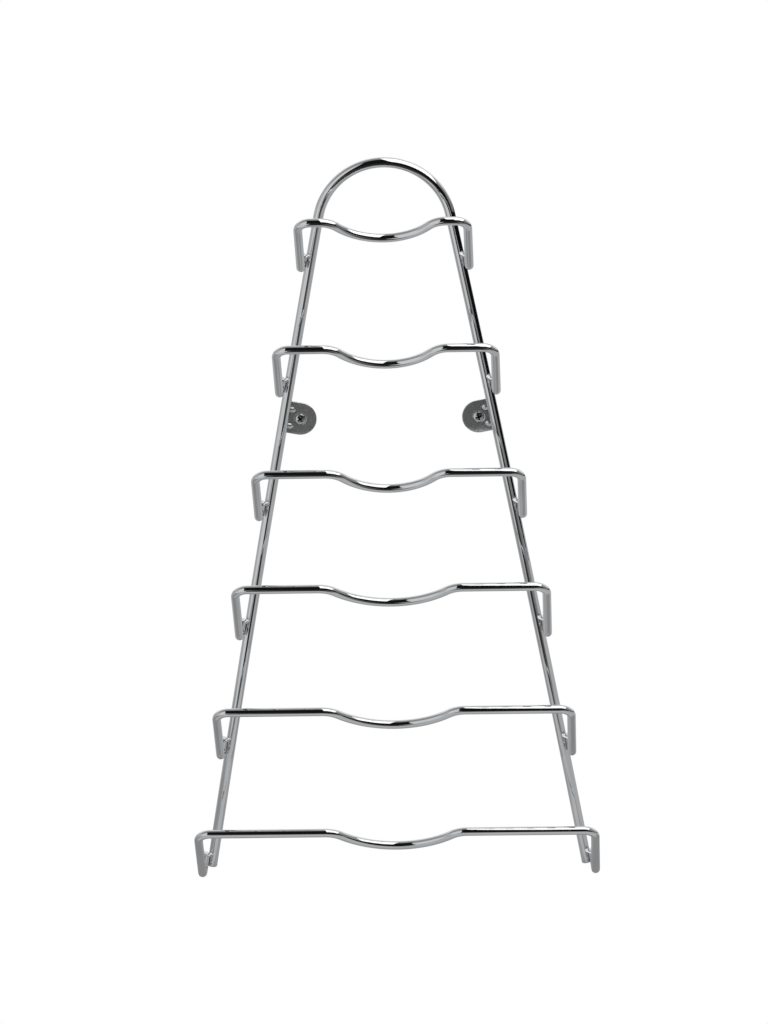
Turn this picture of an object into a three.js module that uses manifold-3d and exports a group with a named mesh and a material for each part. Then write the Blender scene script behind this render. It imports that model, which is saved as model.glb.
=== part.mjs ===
// A wall rack bent and welded from chrome-plated steel wire, for pan lids or other flat round things.
// One long wire makes the frame: an arch with two side wires that spread downwards. Six thinner wires,
// the rails, stand out in front of it. Each rail dips in the middle, and each of its ends turns down into
// a sloping leg, folds back up in a tight hook and is welded to the outer front of a side wire.
// Two small plates welded behind the side wires take the screws that hold the rack to the wall.
//
// Millimetres. X runs across the rack, Y into the wall, Z up.
// The origin lies on the wall, midway between the two screws.
import * as THREE from "three";
import { mergeVertices } from "three/addons/utils/BufferGeometryUtils.js";
import Module from "manifold-3d";

const wasm = await Module();
wasm.setup();

const { degToRad } = THREE.MathUtils;

// ---- Driving dimensions ----

const GAP = 0.3; // left between pieces that touch or are welded together

const frame = {
  wireRadius: 3.5,
  archRadius: 46, // of the wire's centre line
  archHeight: 136.5, // of the arch's centre, above the screws
  splay: degToRad(11.1), // of the side wires from upright, where they leave the arch
  sideTurn: degToRad(1.2), // how much each side wire straightens on its way down
  sideLength: 480,
};

const rail = {
  wireRadius: 3,
  topHook: 115.2, // height of the top rail's hooks above the screws
  spacing: 87.6, // from one rail's hooks to the next
  slope: degToRad(38.3), // of the legs from upright
  cornerRadius: 8.5,
  hookRadius: 5,
  tailForward: 3.8, // of the tail's centre line, in front of the side wire's
};

// From the top rail to the bottom one: the length of its legs as bent, the length of its tails, which are the
// straight ends welded to the side wires, and how far its hooks ended up above their even spacing.
const legLengths = [48.3, 48.2, 48.8, 56, 53.2, 50.5];
const tailLengths = [5, 6.2, 6.4, 7.4, 8, 10];
const hookRises = [1.2, 0, -1.3, -0.4, -0.5, -0.8];

// The dip in a rail's middle is an arc that runs into the straight stretches in two shoulders.
const upperDip = { radius: 44, shoulderRadius: 17, angle: degToRad(45) };
const lowerDip = { radius: 62, shoulderRadius: 18, angle: degToRad(38.5) };
const railsWithUpperDip = 3;

const plate = {
  inset: 11.4, // of the screw from the side wire's centre line
  thickness: 1.5,
  radius: 11.5, // of the round end, which is centred on the screw
  tongue: 14.4, // from the screw to the square end behind the side wire
  cornerRadius: 1.5,
  holeRadius: 2.3,
  sinkRadius: 4.3, // of the countersink at the front face
  sinkDepth: 1.2,
};

// Two ribs pressed out of each plate carry it against the side wire.
const rib = {
  radius: 1.9,
  height: 1,
  root: 0.4, // of its base inside the plate
  bevel: 0.4,
  offset: 5.9, // from the plate's centre line
  start: 4, // from the screw
  end: 13.4,
  dentDepth: 0.7, // of the hollow that pressing leaves in the back
  dentRadius: 1.2,
};

const screw = {
  headRadius: 3.7,
  headDepth: 1.4, // of the cone behind the rim
  domeHeight: 0.9, // of the raised top in front of the rim
  rimProud: 0.2, // of the rim in front of the plate
  neckRadius: 1.6,
  neckLength: 4,
  coreRadius: 1.3,
  threadRadius: 1.9,
  threadPitch: 1.8,
  threads: 9,
  pointLength: 4,
  recessReach: 2.2, // of the cross from its middle
  recessWidth: 0.9,
  recessDepth: 1.5,
};
const screwTurns = { left: degToRad(40), right: degToRad(20) };

// Beads of fused metal in the valleys beside the lines of contact.
const bead = { radius: 1.6, halfLength: 2.6, distance: 2.2 };
const beadBelowEnd = 2; // of a tail's bead under the tail's end
const plateBead = { radius: 1.2, halfLength: 1.7, inwards: 2.9, behind: 3 };

// Facets
const wireSides = 12;
const roundSides = 16;
const cutterSides = 20;
const beadSides = 6;
const steps = { arch: 10, side: 6, dip: 4, shoulder: 3, corner: 5, hook: 8, dome: 3 };

// ---- Derived places ----

const X = new THREE.Vector3(1, 0, 0);
const Y = new THREE.Vector3(0, 1, 0);
const sides = { left: -1, right: 1 };

// The frame's wire lies against the ribs on the plates.
const frameY = -(plate.thickness + rib.height + GAP + frame.wireRadius);
const sideRadius = frame.sideLength / frame.sideTurn;
const joinX = frame.archRadius * Math.cos(frame.splay);
const joinZ = frame.archHeight + frame.archRadius * Math.sin(frame.splay);

// A rail's tail lies against the side wire's outer front.
const tailY = frameY - rail.tailForward;
const tailDistance = frame.wireRadius + GAP + rail.wireRadius;
const tailOut = Math.sqrt(tailDistance ** 2 - rail.tailForward ** 2);

// Where a side wire's centre line is at a height below the arch, and how far it leans from upright.
function sideWireAt(z) {
  const lean = Math.asin(Math.sin(frame.splay) - (joinZ - z) / sideRadius);
  const x = joinX + sideRadius * (Math.cos(lean) - Math.cos(frame.splay));
  return { x, lean };
}

function hookHeight(index) {
  return rail.topHook - index * rail.spacing + hookRises[index];
}

// ---- Wires ----

// The centre line of a bent wire, laid one run or bend after another from where it starts.
class WirePath extends THREE.Curve {
  constructor(start, heading) {
    super();
    this.stations = [{ point: start.clone(), heading: heading.clone() }];
  }

  get last() {
    return this.stations[this.stations.length - 1];
  }

  run(length) {
    const { point, heading } = this.last;
    const end = point.clone().addScaledVector(heading, length);
    this.stations.push({ point: end, heading: heading.clone() });
    return this;
  }

  // Turns about an axis square to the heading. A lean carries the bend along its axis little by little,
  // and the wire leaves the bend leaning that much towards the axis.
  bend(axis, radius, angle, count, lean = 0) {
    const { point, heading } = this.last;
    const inwards = new THREE.Vector3().crossVectors(axis, heading);
    const centre = point.clone().addScaledVector(inwards, radius);
    for (let i = 1; i <= count; i += 1) {
      const part = i / count;
      const spoke = inwards.clone().applyAxisAngle(axis, angle * part);
      const ahead = heading.clone().applyAxisAngle(axis, angle * part);
      this.stations.push({
        point: centre
          .clone()
          .addScaledVector(spoke, -radius)
          .addScaledVector(axis, leanDrift(radius, angle, lean) * part ** 2),
        heading: ahead.addScaledVector(axis, Math.tan(lean) * part).normalize(),
      });
    }
    return this;
  }

  // Adds the mirror image across X = 0 before a path that starts there.
  mirrored() {
    const flip = ({ point, heading }) => ({
      point: new THREE.Vector3(-point.x, point.y, point.z),
      heading: new THREE.Vector3(heading.x, -heading.y, -heading.z),
    });
    this.stations.unshift(...this.stations.slice(1).reverse().map(flip));
    return this;
  }

  stationAt(u) {
    return this.stations[Math.round(u * (this.stations.length - 1))];
  }

  getPointAt(u, target = new THREE.Vector3()) {
    return target.copy(this.stationAt(u).point);
  }

  getTangentAt(u, target = new THREE.Vector3()) {
    return target.copy(this.stationAt(u).heading);
  }
}

// How far a bend that ends with a lean is carried along its axis.
function leanDrift(radius, angle, lean) {
  return (radius * angle * Math.tan(lean)) / 2;
}

// A round wire along a path, cut square at both ends.
function wireGeometry(path, radius) {
  const corner = (i) => {
    const angle = (2 * Math.PI * i) / wireSides;
    return new THREE.Vector2(radius * Math.cos(angle), radius * Math.sin(angle));
  };
  const section = new THREE.Shape(Array.from({ length: wireSides }, (_, i) => corner(i)));
  return new THREE.ExtrudeGeometry(section, {
    steps: path.stations.length - 1,
    extrudePath: path,
  });
}

// The frame, with the arch's centre at its own origin.
function frameHoopGeometry() {
  const top = new THREE.Vector3(0, 0, frame.archRadius);
  const path = new WirePath(top, X)
    .bend(Y, frame.archRadius, Math.PI / 2 - frame.splay, steps.arch)
    .bend(Y, sideRadius, frame.sideTurn, steps.side)
    .mirrored();
  return wireGeometry(path, frame.wireRadius);
}

// A rail, with the centres of its hooks at its own height 0 and its tails' centre lines at its own Y = 0.
function railGeometry(index) {
  const { slope, cornerRadius, hookRadius } = rail;
  const { lean, x: sideX } = sideWireAt(hookHeight(index));
  const legLength = legLengths[index];
  const hookTurn = Math.PI - slope;
  const legX = sideX + tailOut / Math.cos(lean) + leanDrift(hookRadius, hookTurn, lean);

  // The rail and its legs lie in one sloping plane, where up is also forwards.
  const upSlope = new THREE.Vector3(0, -Math.sin(slope), Math.cos(slope));
  const turnUp = new THREE.Vector3().crossVectors(X, upSlope);
  const turnDown = turnUp.clone().negate();
  const legFoot = new THREE.Vector3(
    0,
    -hookRadius * (1 + Math.cos(slope)),
    -hookRadius * Math.sin(slope),
  );

  const dip = index < railsWithUpperDip ? upperDip : lowerDip;
  const dipReach = (dip.radius + dip.shoulderRadius) * Math.sin(dip.angle);
  const dipDepth = (dip.radius + dip.shoulderRadius) * (1 - Math.cos(dip.angle));
  const path = new WirePath(legFoot.addScaledVector(upSlope, legLength - dipDepth), X)
    .bend(turnUp, dip.radius, dip.angle, steps.dip)
    .bend(turnDown, dip.shoulderRadius, dip.angle, steps.shoulder)
    .run(legX - cornerRadius - dipReach)
    .bend(turnDown, cornerRadius, Math.PI / 2, steps.corner)
    .run(legLength - cornerRadius)
    .bend(X, hookRadius, hookTurn, steps.hook, -lean)
    .run(tailLengths[index])
    .mirrored();
  return wireGeometry(path, rail.wireRadius);
}

// ---- Cut and joined pieces ----

function toSolid(geometry) {
  const bare = geometry.clone();
  bare.deleteAttribute("normal");
  bare.deleteAttribute("uv");
  const { index, attributes } = mergeVertices(bare);
  return new wasm.Manifold(
    new wasm.Mesh({
      numProp: 3,
      vertProperties: attributes.position.array,
      triVerts: new Uint32Array(index.array),
    }),
  );
}

function toGeometry(solid) {
  const { vertProperties, triVerts } = solid.getMesh();
  const geometry = new THREE.BufferGeometry();
  geometry.setAttribute("position", new THREE.BufferAttribute(vertProperties, 3));
  geometry.setIndex(new THREE.BufferAttribute(triVerts, 1));
  geometry.computeVertexNormals();
  return geometry;
}

// An outline drawn in X and Z, extruded from Y = 0 towards the front.
function extrudeForwards(outline, settings) {
  const options = { bevelEnabled: false, curveSegments: 8, ...settings };
  return new THREE.ExtrudeGeometry(outline, options).rotateX(Math.PI / 2);
}

// A bar outline with one round end about the origin and one square end with small corners.
function plateOutline() {
  const { radius, tongue, cornerRadius } = plate;
  const outline = new THREE.Shape();
  outline.absarc(0, 0, radius, Math.PI / 2, (3 * Math.PI) / 2);
  outline.absarc(tongue - cornerRadius, cornerRadius - radius, cornerRadius, -Math.PI / 2, 0);
  outline.absarc(tongue - cornerRadius, radius - cornerRadius, cornerRadius, 0, Math.PI / 2);
  return outline;
}

// A bar outline with two round ends, as long as a rib.
function ribOutline(radius) {
  const outline = new THREE.Shape();
  outline.absarc(rib.start + rib.radius, 0, radius, Math.PI / 2, (3 * Math.PI) / 2);
  outline.absarc(rib.end - rib.radius, 0, radius, -Math.PI / 2, Math.PI / 2);
  return outline;
}

function ribSolid() {
  const geometry = extrudeForwards(ribOutline(rib.radius), {
    depth: rib.root + rib.height - 2 * rib.bevel,
    curveSegments: 5,
    bevelEnabled: true,
    bevelThickness: rib.bevel,
    bevelSize: rib.bevel,
    bevelOffset: -rib.bevel,
    bevelSegments: 1,
  });
  return toSolid(geometry.translate(0, rib.root - rib.bevel - plate.thickness, 0));
}

function dentSolid() {
  const settings = { depth: 2 * rib.dentDepth, curveSegments: 5 };
  const geometry = extrudeForwards(ribOutline(rib.dentRadius), settings);
  return toSolid(geometry.translate(0, rib.dentDepth, 0));
}

// A wall plate with its screw at the origin, its back on the wall and its tongue along +X.
function wallPlateGeometry() {
  const { thickness, holeRadius, sinkRadius, sinkDepth } = plate;
  let solid = toSolid(extrudeForwards(plateOutline(), { depth: thickness }));
  for (const z of [-rib.offset, rib.offset]) {
    solid = solid.add(ribSolid().translate([0, 0, z]));
    solid = solid.subtract(dentSolid().translate([0, 0, z]));
  }
  const hole = new THREE.CylinderGeometry(holeRadius, holeRadius, 3 * thickness, roundSides);
  // The countersink's cone goes as far in front of the face as behind it.
  const mouthRadius = 2 * sinkRadius - holeRadius;
  const sink = new THREE.CylinderGeometry(holeRadius, mouthRadius, 2 * sinkDepth, roundSides);
  return toGeometry(solid.subtract(toSolid(hole)).subtract(toSolid(sink.translate(0, -thickness, 0))));
}

// Half the outline of a screw, from the top of its head to its point. The rim is at Y = 0.
function screwProfile() {
  const { neckRadius, coreRadius, threadRadius, threadPitch, headRadius, domeHeight } = screw;
  const profile = [];
  for (let i = 0; i <= steps.dome; i += 1) {
    const angle = (Math.PI / 2) * (i / steps.dome);
    profile.push(new THREE.Vector2(headRadius * Math.sin(angle), -domeHeight * Math.cos(angle)));
  }
  const threadStart = screw.headDepth + screw.neckLength;
  profile.push(new THREE.Vector2(neckRadius, screw.headDepth));
  profile.push(new THREE.Vector2(neckRadius, threadStart - threadPitch / 2));
  profile.push(new THREE.Vector2(coreRadius, threadStart));
  for (let i = 0; i < screw.threads; i += 1) {
    const y = threadStart + i * threadPitch;
    profile.push(new THREE.Vector2(threadRadius, y + threadPitch / 2));
    profile.push(new THREE.Vector2(coreRadius, y + threadPitch));
  }
  profile.push(new THREE.Vector2(0, threadStart + screw.threads * threadPitch + screw.pointLength));
  return profile;
}

// A cross-head wood screw with its rim at the origin and its point along +Y.
function screwGeometry() {
  const { recessReach, recessWidth, recessDepth, domeHeight } = screw;
  let solid = toSolid(new THREE.LatheGeometry(screwProfile(), roundSides));
  for (const turn of [0, Math.PI / 2]) {
    const slot = new THREE.BoxGeometry(2 * recessReach, 2 * recessDepth, recessWidth);
    slot.rotateY(turn).translate(0, -domeHeight, 0);
    solid = solid.subtract(toSolid(slot));
  }
  return toGeometry(solid);
}

// ---- Weld beads, about a side wire's centre line, with X outwards and Z up the wire ----

function beadSolid({ radius, halfLength }, x, y) {
  const geometry = new THREE.SphereGeometry(radius, beadSides, beadSides);
  geometry.rotateX(Math.PI / 2).scale(1, 1, halfLength / radius);
  return toSolid(geometry.translate(x, y, 0));
}

// What a bead has to stay clear of: a wire with the gap round it.
function wireCutter(radius, x, y) {
  const reach = radius + GAP;
  const geometry = new THREE.CylinderGeometry(reach, reach, 4 * reach, cutterSides);
  return toSolid(geometry.rotateX(Math.PI / 2).translate(x, y, 0));
}

function railBeadGeometry() {
  // From the side wire's centre to the tail's, and the direction of the valley in front of both.
  const across = new THREE.Vector2(tailOut, -rail.tailForward).normalize();
  const valley = new THREE.Vector2(across.y, -across.x);
  const contact = across.clone().multiplyScalar(frame.wireRadius + GAP / 2);
  const middle = contact.addScaledVector(valley, bead.distance);
  const solid = beadSolid(bead, middle.x, middle.y)
    .subtract(wireCutter(frame.wireRadius, 0, 0))
    .subtract(wireCutter(rail.wireRadius, tailOut, -rail.tailForward));
  return toGeometry(solid);
}

function plateBeadGeometry() {
  const { radius, inwards, behind } = plateBead;
  const ribTop = frame.wireRadius + GAP;
  const slab = new THREE.BoxGeometry(8 * radius, 2 * radius, 8 * radius);
  slab.translate(-inwards, ribTop - GAP + radius, 0);
  const solid = beadSolid(plateBead, -inwards, behind)
    .subtract(wireCutter(frame.wireRadius, 0, 0))
    .subtract(toSolid(slab));
  return toGeometry(solid);
}

// ---- Assembly ----

const finishes = {
  chrome: { color: 0xc9ccd0, roughness: 0.08, metalness: 1 },
  weld: { color: 0xb4b8bc, roughness: 0.25, metalness: 1 },
  plate: { color: 0x85888c, roughness: 0.4, metalness: 1 },
  screw: { color: 0xb2b5b9, roughness: 0.3, metalness: 1 },
};

const rack = new THREE.Group();

function addPiece(parent, name, geometry, finish) {
  const mesh = new THREE.Mesh(geometry, new THREE.MeshStandardMaterial(finishes[finish]));
  mesh.name = name;
  parent.add(mesh);
  return mesh;
}

// A group at a side wire's height, turned so that its X points outwards, square to the wire.
function sideGroup(side, x, y, z) {
  const { lean } = sideWireAt(z);
  const group = new THREE.Group();
  group.position.set(sides[side] * x, y, z);
  group.rotation.y = side === "right" ? -lean : Math.PI + lean;
  rack.add(group);
  return group;
}

function addFrame() {
  const mesh = addPiece(rack, "frame_hoop", frameHoopGeometry(), "chrome");
  mesh.position.set(0, frameY, frame.archHeight);
}

function addRail(index) {
  const name = `rail_${index + 1}`;
  const z = hookHeight(index);
  const mesh = addPiece(rack, name, railGeometry(index), "chrome");
  mesh.position.set(0, tailY, z);
  const beadZ = z + tailLengths[index] - beadBelowEnd;
  for (const side of Object.keys(sides)) {
    const group = sideGroup(side, sideWireAt(beadZ).x, frameY, beadZ);
    addPiece(group, `${name}_weld_${side}`, railBeadGeometry(), "weld");
  }
}

function addWallPlate(side) {
  const wire = sideWireAt(0);
  const screwX = wire.x - plate.inset;
  const group = sideGroup(side, screwX, 0, 0);
  addPiece(group, `wall_plate_${side}`, wallPlateGeometry(), "plate");

  const mesh = addPiece(group, `screw_${side}`, screwGeometry(), "screw");
  mesh.position.y = -plate.thickness - screw.rimProud;
  mesh.rotation.y = screwTurns[side];

  // The group is turned half round on the left, so the lower rib there lies on its own upper side.
  for (const [place, up] of Object.entries({ upper: 1, lower: -1 })) {
    const weld = addPiece(group, `plate_weld_${side}_${place}`, plateBeadGeometry(), "weld");
    weld.position.set(plate.inset * Math.cos(wire.lean), frameY, sides[side] * up * rib.offset);
  }
}

addFrame();
legLengths.forEach((_, index) => addRail(index));
Object.keys(sides).forEach(addWallPlate);

export default rack;
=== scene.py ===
# The looks of a wall rack bent and welded from chrome-plated wire: smooth wires in place of the faceted
# ones, fused welds, pressed wall plates, threaded screws, and a studio to see them in.
import math

import bpy
from mathutils import Matrix, Vector


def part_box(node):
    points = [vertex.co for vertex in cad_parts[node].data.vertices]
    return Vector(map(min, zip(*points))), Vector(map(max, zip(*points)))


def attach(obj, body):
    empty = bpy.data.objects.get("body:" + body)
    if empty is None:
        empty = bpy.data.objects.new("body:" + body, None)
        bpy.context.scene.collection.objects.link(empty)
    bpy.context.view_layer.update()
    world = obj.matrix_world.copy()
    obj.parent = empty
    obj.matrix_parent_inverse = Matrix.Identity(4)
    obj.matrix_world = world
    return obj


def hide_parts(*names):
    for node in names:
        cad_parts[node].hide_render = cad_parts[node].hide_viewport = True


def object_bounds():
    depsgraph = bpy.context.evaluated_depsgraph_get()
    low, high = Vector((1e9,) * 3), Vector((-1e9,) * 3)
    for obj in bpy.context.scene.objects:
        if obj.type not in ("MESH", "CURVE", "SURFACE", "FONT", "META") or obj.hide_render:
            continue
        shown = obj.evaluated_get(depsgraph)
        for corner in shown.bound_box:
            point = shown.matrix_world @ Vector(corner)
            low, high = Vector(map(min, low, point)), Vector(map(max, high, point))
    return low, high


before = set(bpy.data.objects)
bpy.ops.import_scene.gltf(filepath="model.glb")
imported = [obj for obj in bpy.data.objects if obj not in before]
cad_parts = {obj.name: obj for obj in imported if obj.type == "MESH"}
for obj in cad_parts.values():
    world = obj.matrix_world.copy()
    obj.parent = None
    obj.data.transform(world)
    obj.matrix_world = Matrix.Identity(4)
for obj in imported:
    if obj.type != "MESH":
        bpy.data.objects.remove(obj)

CAD_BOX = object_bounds()
MM = 0.001
RAD = math.pi / 180
X = Vector((1, 0, 0))
Y = Vector((0, 1, 0))
SIDES = {"left": -1, "right": 1}

# ---- How the rack is bent, in metres and radians. Places come from the frame's boxes. ----

GAP = 0.3 * MM  # what the CAD leaves between welded pieces

ARCH_RADIUS = 46 * MM
SPLAY = 11.1 * RAD  # of the side wires from upright, where they leave the arch
SIDE_TURN = 1.2 * RAD  # how much each side wire straightens on its way down
SIDE_LENGTH = 480 * MM

RAIL_COUNT = 6
RAIL_RADIUS = 3 * MM  # of its wire
SLOPE = 38.3 * RAD  # of the legs from upright
CORNER_RADIUS = 8.5 * MM
HOOK_RADIUS = 5 * MM
UPPER_DIP = {"radius": 44 * MM, "shoulder": 17 * MM, "angle": 45 * RAD}
LOWER_DIP = {"radius": 62 * MM, "shoulder": 18 * MM, "angle": 38.5 * RAD}
RAILS_WITH_UPPER_DIP = 3

EDGE_RADIUS = 0.8 * MM  # of the sheared wire ends
END_RING = 0.5  # where a ring of points lies on a wire's flat end, as a share of its radius
CORNER_FLATTENING = 0.04  # share of the wire's width that a bend takes off
HOOK_FLATTENING = 0.07

# How finely the wires are cut up: points around them, and steps along their bends and runs.
HOOP_SIDES = 40
RAIL_SIDES = 32
EDGE_STEPS = 4
RUN_STEPS = 8
TAIL_STEPS = 2
BEND_STEPS = {"arch": 40, "side": 60, "dip": 24, "shoulder": 16, "corner": 16, "hook": 24}

# ---- Wires ----


class WirePath:
    """The centre line of a bent wire, laid one run or bend after another from where it starts.

    A station is a point, a heading, the direction towards the bend's centre and how flattened it is."""

    def __init__(self, start, heading):
        self.stations = [(start.copy(), heading.copy(), Vector(), 0.0)]

    def run(self, length, count=1):
        """Goes straight ahead."""
        point, heading, _, _ = self.stations[-1]
        for i in range(1, count + 1):
            self.stations.append((point + heading * (length * i / count), heading.copy(), Vector(), 0.0))
        return self

    def bend(self, axis, radius, angle, count, lean=0.0, flattening=0.0):
        """Turns about an axis square to the heading. A lean carries the bend along its axis little by
        little, and the wire leaves the bend leaning that much towards the axis."""
        point, heading, _, _ = self.stations[-1]
        inwards = axis.cross(heading)
        centre = point + inwards * radius
        drift = radius * angle * math.tan(lean) / 2
        for i in range(1, count + 1):
            part = i / count
            turn = Matrix.Rotation(angle * part, 3, axis)
            spoke = turn @ inwards
            ahead = turn @ heading + axis * (math.tan(lean) * part)
            squeeze = flattening * math.sin(math.pi * part) ** 2
            place = centre - spoke * radius + axis * (drift * part**2)
            self.stations.append((place, ahead.normalized(), spoke, squeeze))
        return self

    def mirrored(self):
        """Adds the mirror image across X = 0 before a path that starts there."""
        def flip(station):
            """The mirrored station, heading the way the joined path goes."""
            point, heading, spoke, squeeze = station
            return (
                Vector((-point.x, point.y, point.z)),
                Vector((heading.x, -heading.y, -heading.z)),
                Vector((-spoke.x, spoke.y, spoke.z)),
                squeeze,
            )

        self.stations = [flip(s) for s in reversed(self.stations[1:])] + self.stations
        return self


def ring_frames(stations):
    """For each station, two directions across the wire that turn as little as possible along it."""
    across = Y - stations[0][1] * Y.dot(stations[0][1])
    frames = []
    for _, heading, _, _ in stations:
        across = (across - heading * across.dot(heading)).normalized()
        frames.append((across.copy(), heading.cross(across)))
    return frames


def end_rings(radius):
    """How far in from a wire's end, and how wide, the rings of its flat end and its rounded edge are."""
    rings = [(0.0, END_RING * radius)]
    for i in range(EDGE_STEPS + 1):
        angle = math.pi / 2 * i / EDGE_STEPS
        rings.append((EDGE_RADIUS * (1 - math.cos(angle)), radius - EDGE_RADIUS * (1 - math.sin(angle))))
    return rings


def wire_mesh(name, path, radius, sides):
    """A round wire with rounded ends. Its wire_place attribute holds each point's place on the wire in
    millimetres: two coordinates across it and the third along it."""
    stations = path.stations
    frames = ring_frames(stations)
    rings = end_rings(radius)
    assert rings[-1][0] < (stations[1][0] - stations[0][0]).length
    rows = []
    along = 0.0
    previous = stations[0][0]
    last = len(stations) - 1
    for i, (point, heading, spoke, squeeze) in enumerate(stations):
        along += (point - previous).length
        previous = point
        if i == 0:
            rows += [(point + heading * d, frames[i], r, spoke, 0.0, along + d) for d, r in rings]
        elif i == last:
            rows += [(point - heading * d, frames[i], r, spoke, 0.0, along - d) for d, r in reversed(rings)]
        else:
            rows.append((point, frames[i], radius, spoke, squeeze, along))
    points = []
    places = []
    for centre, (across, over), ring_radius, spoke, squeeze, distance in rows:
        for j in range(sides):
            angle = 2 * math.pi * j / sides
            across_by = ring_radius * math.cos(angle)
            over_by = ring_radius * math.sin(angle)
            offset = across * across_by + over * over_by
            offset -= spoke * (squeeze * offset.dot(spoke))
            points.append(centre + offset)
            places.append((across_by / MM, over_by / MM, distance / MM))
    faces = []
    for i in range(len(rows) - 1):
        for j in range(sides):
            k = (j + 1) % sides
            faces.append((i * sides + j, i * sides + k, (i + 1) * sides + k, (i + 1) * sides + j))
    top = (len(rows) - 1) * sides
    faces.append(tuple(reversed(range(sides))))
    faces.append(tuple(top + j for j in range(sides)))
    return new_piece(name, points, faces, places)


def new_piece(name, points, faces, places):
    """A smooth-shaded object from points and faces, with each point's place on its own surface."""
    mesh = bpy.data.meshes.new(name)
    mesh.from_pydata(points, [], faces)
    attribute = mesh.attributes.new("wire_place", "FLOAT_VECTOR", "POINT")
    attribute.data.foreach_set("vector", [c for place in places for c in place])
    mesh.shade_smooth()
    mesh.validate()
    piece = bpy.data.objects.new(name, mesh)
    bpy.context.scene.collection.objects.link(piece)
    return piece


def finish_piece(piece, node, slot):
    """Puts a new piece in the place of its CAD node."""
    piece.data.materials.append(MATERIALS[slot])
    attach(piece, "root")
    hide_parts(node)


# ---- Where things are, from the frame ----

hoop_low, hoop_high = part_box("frame_hoop")
HOOP_RADIUS = (hoop_high.y - hoop_low.y) / 2
HOOP_Y = (hoop_high.y + hoop_low.y) / 2
ARCH_TOP = hoop_high.z - HOOP_RADIUS
SIDE_RADIUS = SIDE_LENGTH / SIDE_TURN
JOIN_X = ARCH_RADIUS * math.cos(SPLAY)
JOIN_Z = ARCH_TOP - ARCH_RADIUS * (1 - math.sin(SPLAY))


def side_wire_at(z):
    """Where a side wire's centre line is at a height below the arch, and its lean from upright."""
    lean = math.asin(math.sin(SPLAY) - (JOIN_Z - z) / SIDE_RADIUS)
    return JOIN_X + SIDE_RADIUS * (math.cos(lean) - math.cos(SPLAY)), lean


def side_axes(side, lean):
    """Directions outwards, square to a side wire, and up along it."""
    sign = SIDES[side]
    outwards = Vector((sign * math.cos(lean), 0, math.sin(lean)))
    upwards = Vector((-sign * math.sin(lean), 0, math.cos(lean)))
    return outwards, upwards


# ---- The frame and the rails ----


def make_hoop():
    """The arch and its two side wires, bent from one wire."""
    path = WirePath(Vector((0, HOOP_Y, ARCH_TOP)), X)
    path.bend(Y, ARCH_RADIUS, math.pi / 2 - SPLAY, BEND_STEPS["arch"])
    path.bend(Y, SIDE_RADIUS, SIDE_TURN, BEND_STEPS["side"])
    piece = wire_mesh("hoop_wire", path.mirrored(), HOOP_RADIUS, HOOP_SIDES)
    finish_piece(piece, "frame_hoop", "chrome")


def rail_path(index):
    """The centre line of a rail, its legs, hooks and tails."""
    low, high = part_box(f"rail_{index + 1}")
    hook_z = low.z + HOOK_RADIUS + RAIL_RADIUS
    tail_y = high.y - RAIL_RADIUS
    leg_x = high.x - RAIL_RADIUS
    front_y = low.y + RAIL_RADIUS
    foot_y = tail_y - HOOK_RADIUS * (1 + math.cos(SLOPE))
    leg_length = (foot_y - front_y) / math.sin(SLOPE)
    _, lean = side_wire_at(hook_z)

    # The rail and its legs lie in one sloping plane, where up is also forwards.
    up_slope = Vector((0, -math.sin(SLOPE), math.cos(SLOPE)))
    turn_up = X.cross(up_slope)
    leg_foot = Vector((0, foot_y, hook_z - HOOK_RADIUS * math.sin(SLOPE)))

    dip = UPPER_DIP if index < RAILS_WITH_UPPER_DIP else LOWER_DIP
    both_radii = dip["radius"] + dip["shoulder"]
    dip_reach = both_radii * math.sin(dip["angle"])
    dip_depth = both_radii * (1 - math.cos(dip["angle"]))
    path = WirePath(leg_foot + up_slope * (leg_length - dip_depth), X)
    path.bend(turn_up, dip["radius"], dip["angle"], BEND_STEPS["dip"])
    path.bend(-turn_up, dip["shoulder"], dip["angle"], BEND_STEPS["shoulder"])
    path.run(leg_x - CORNER_RADIUS - dip_reach, RUN_STEPS)
    path.bend(-turn_up, CORNER_RADIUS, math.pi / 2, BEND_STEPS["corner"], flattening=CORNER_FLATTENING)
    path.run(leg_length - CORNER_RADIUS, RUN_STEPS)
    path.bend(X, HOOK_RADIUS, math.pi - SLOPE, BEND_STEPS["hook"], lean=-lean, flattening=HOOK_FLATTENING)

    # The tail ends level with the middle of its weld, which has eaten the rest.
    weld_low, weld_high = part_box(f"rail_{index + 1}_weld_left")
    tail_length = ((weld_low.z + weld_high.z) / 2 - hook_z) / math.cos(lean)
    path.run(tail_length, TAIL_STEPS)
    return path.mirrored()


def make_rail(index):
    """One rail, as a smooth wire."""
    piece = wire_mesh(f"rail_wire_{index + 1}", rail_path(index), RAIL_RADIUS, RAIL_SIDES)
    finish_piece(piece, f"rail_{index + 1}", "chrome")


# ---- Welds ----

FLAT_RADIUS = 1.0  # so large that the top of a plate's rib counts as flat
LEAST_FILLET = 0.6 * GAP  # the radius that a fillet thins out to at its ends
FILLET_WOBBLE = 0.08  # share of its size by which a fillet is uneven
FILLET_WAVES = 4
FILLET_ARC_STEPS = 8
FILLET_STEPS = 24
RAIL_FILLET = {"size": 0.3 * MM, "half_length": 1.4 * MM, "below_weld": 3.0 * MM}
PLATE_FILLET = {"size": 0.6 * MM, "half_length": 1.6 * MM}

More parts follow.
